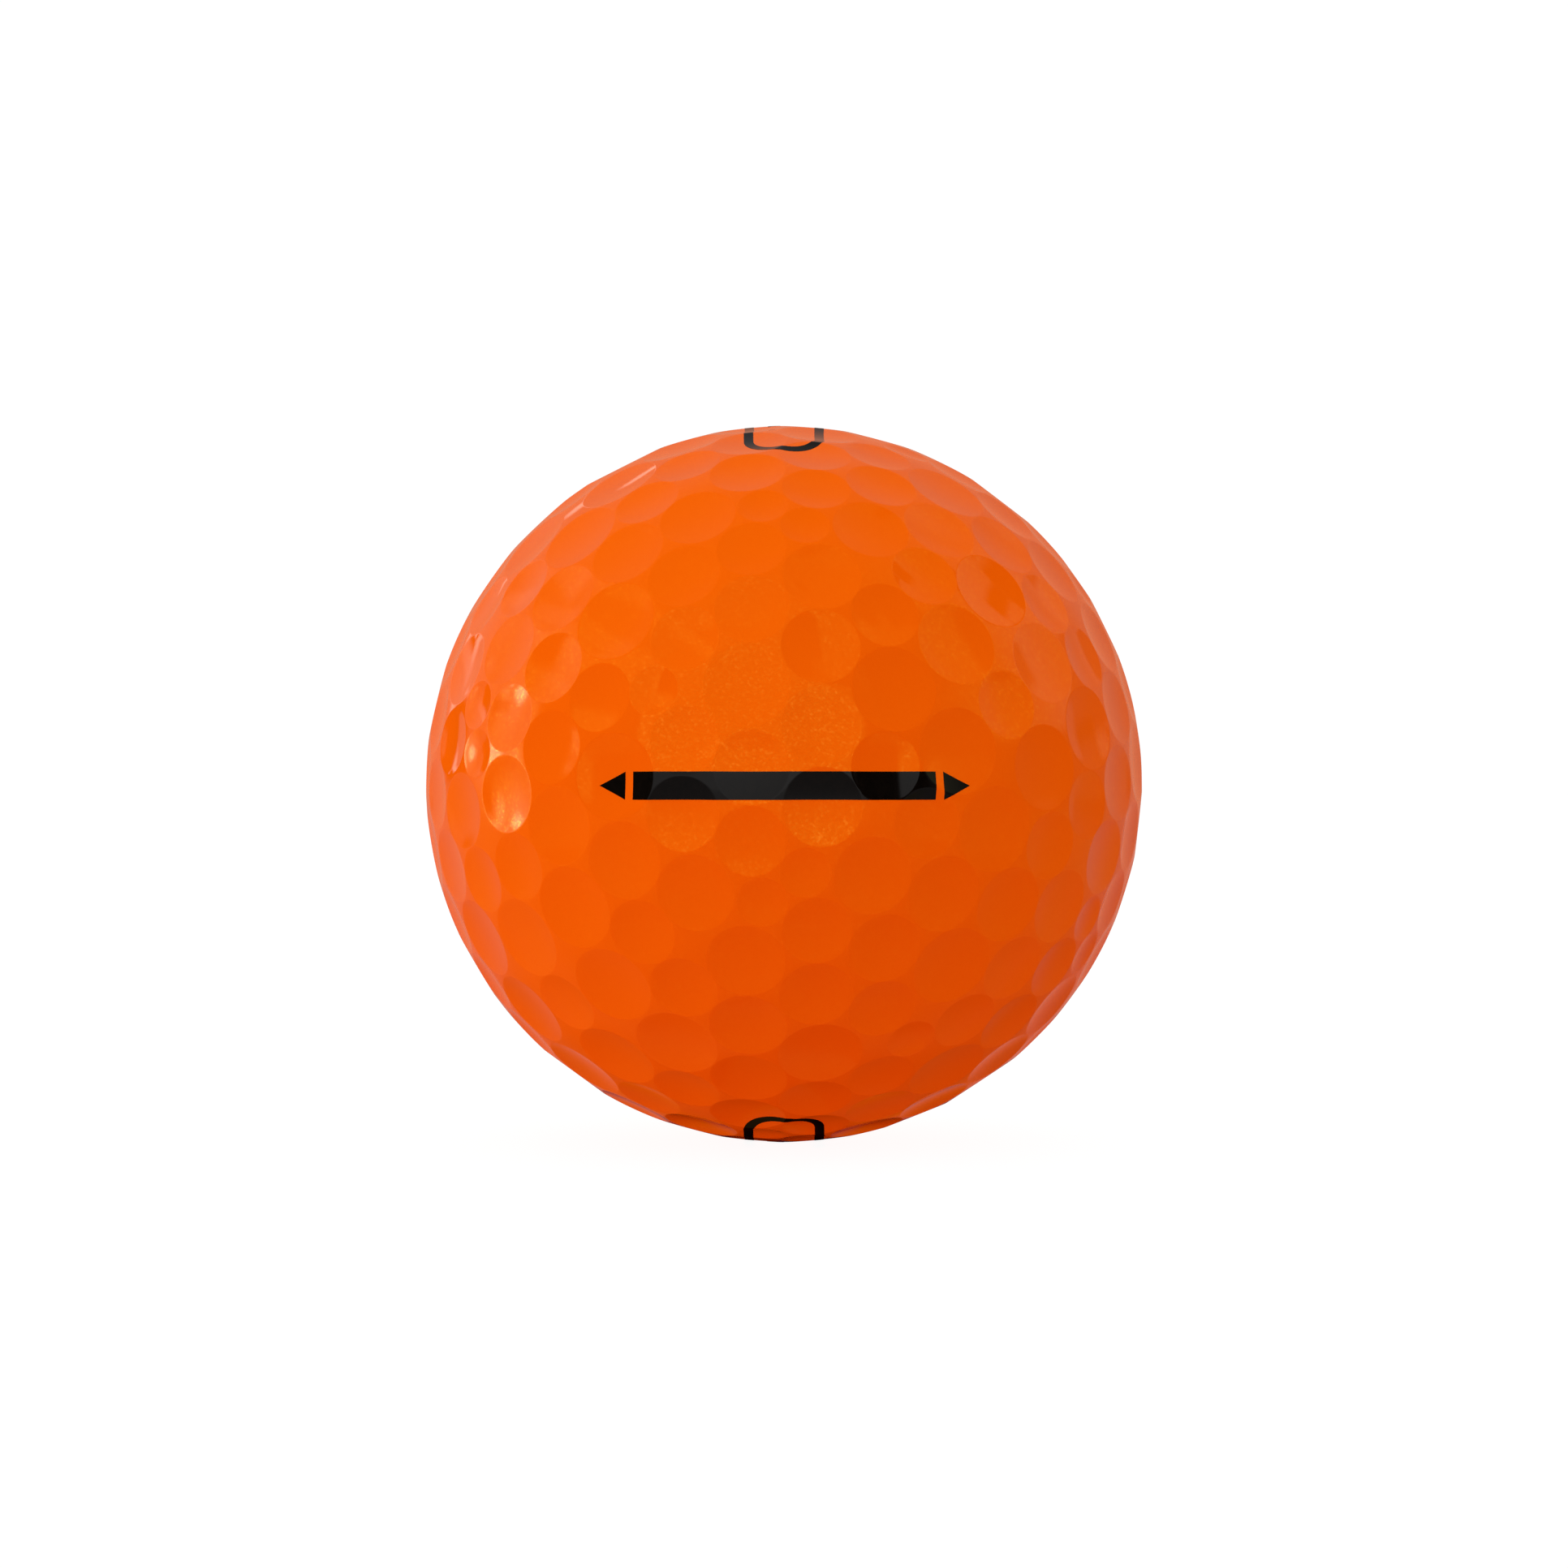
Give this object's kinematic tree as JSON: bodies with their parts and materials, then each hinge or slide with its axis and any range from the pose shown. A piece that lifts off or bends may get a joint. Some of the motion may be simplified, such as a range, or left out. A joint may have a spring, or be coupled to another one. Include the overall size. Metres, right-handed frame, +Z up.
{
  "type": "golf ball",
  "caption": "Dimpled ball with a solid rubber core, a moulded glossy orange cover, a black alignment bar on one side and a plain black mark at top and bottom.",
  "frame": {"origin": "centre of the ball", "axes": "+Z up through the top pole mark, -Y out through the alignment stamp, +X along the stamp to the right as seen from the stamp's side and through one mould pole. The mould parting plane is X = 0."},
  "size_m": [0.0426, 0.0427, 0.0428],
  "materials": {
    "cover_orange": "pearl orange under a clear gloss coat",
    "ink_black": "black printing ink under a clear gloss coat",
    "core_rubber": "matte, centreless-ground"
  },
  "bodies": {
    "root": {"core": "core_rubber", "cover_half_left": "cover_orange", "cover_half_right": "cover_orange", "side_stamp_bar": "ink_black", "side_stamp_arrow_left": "ink_black", "side_stamp_arrow_right": "ink_black", "top_mark_outline": "ink_black", "top_mark_numeral": "ink_black", "bottom_mark_outline": "ink_black", "bottom_mark_numeral": "ink_black"}
  },
  "joints": []
}
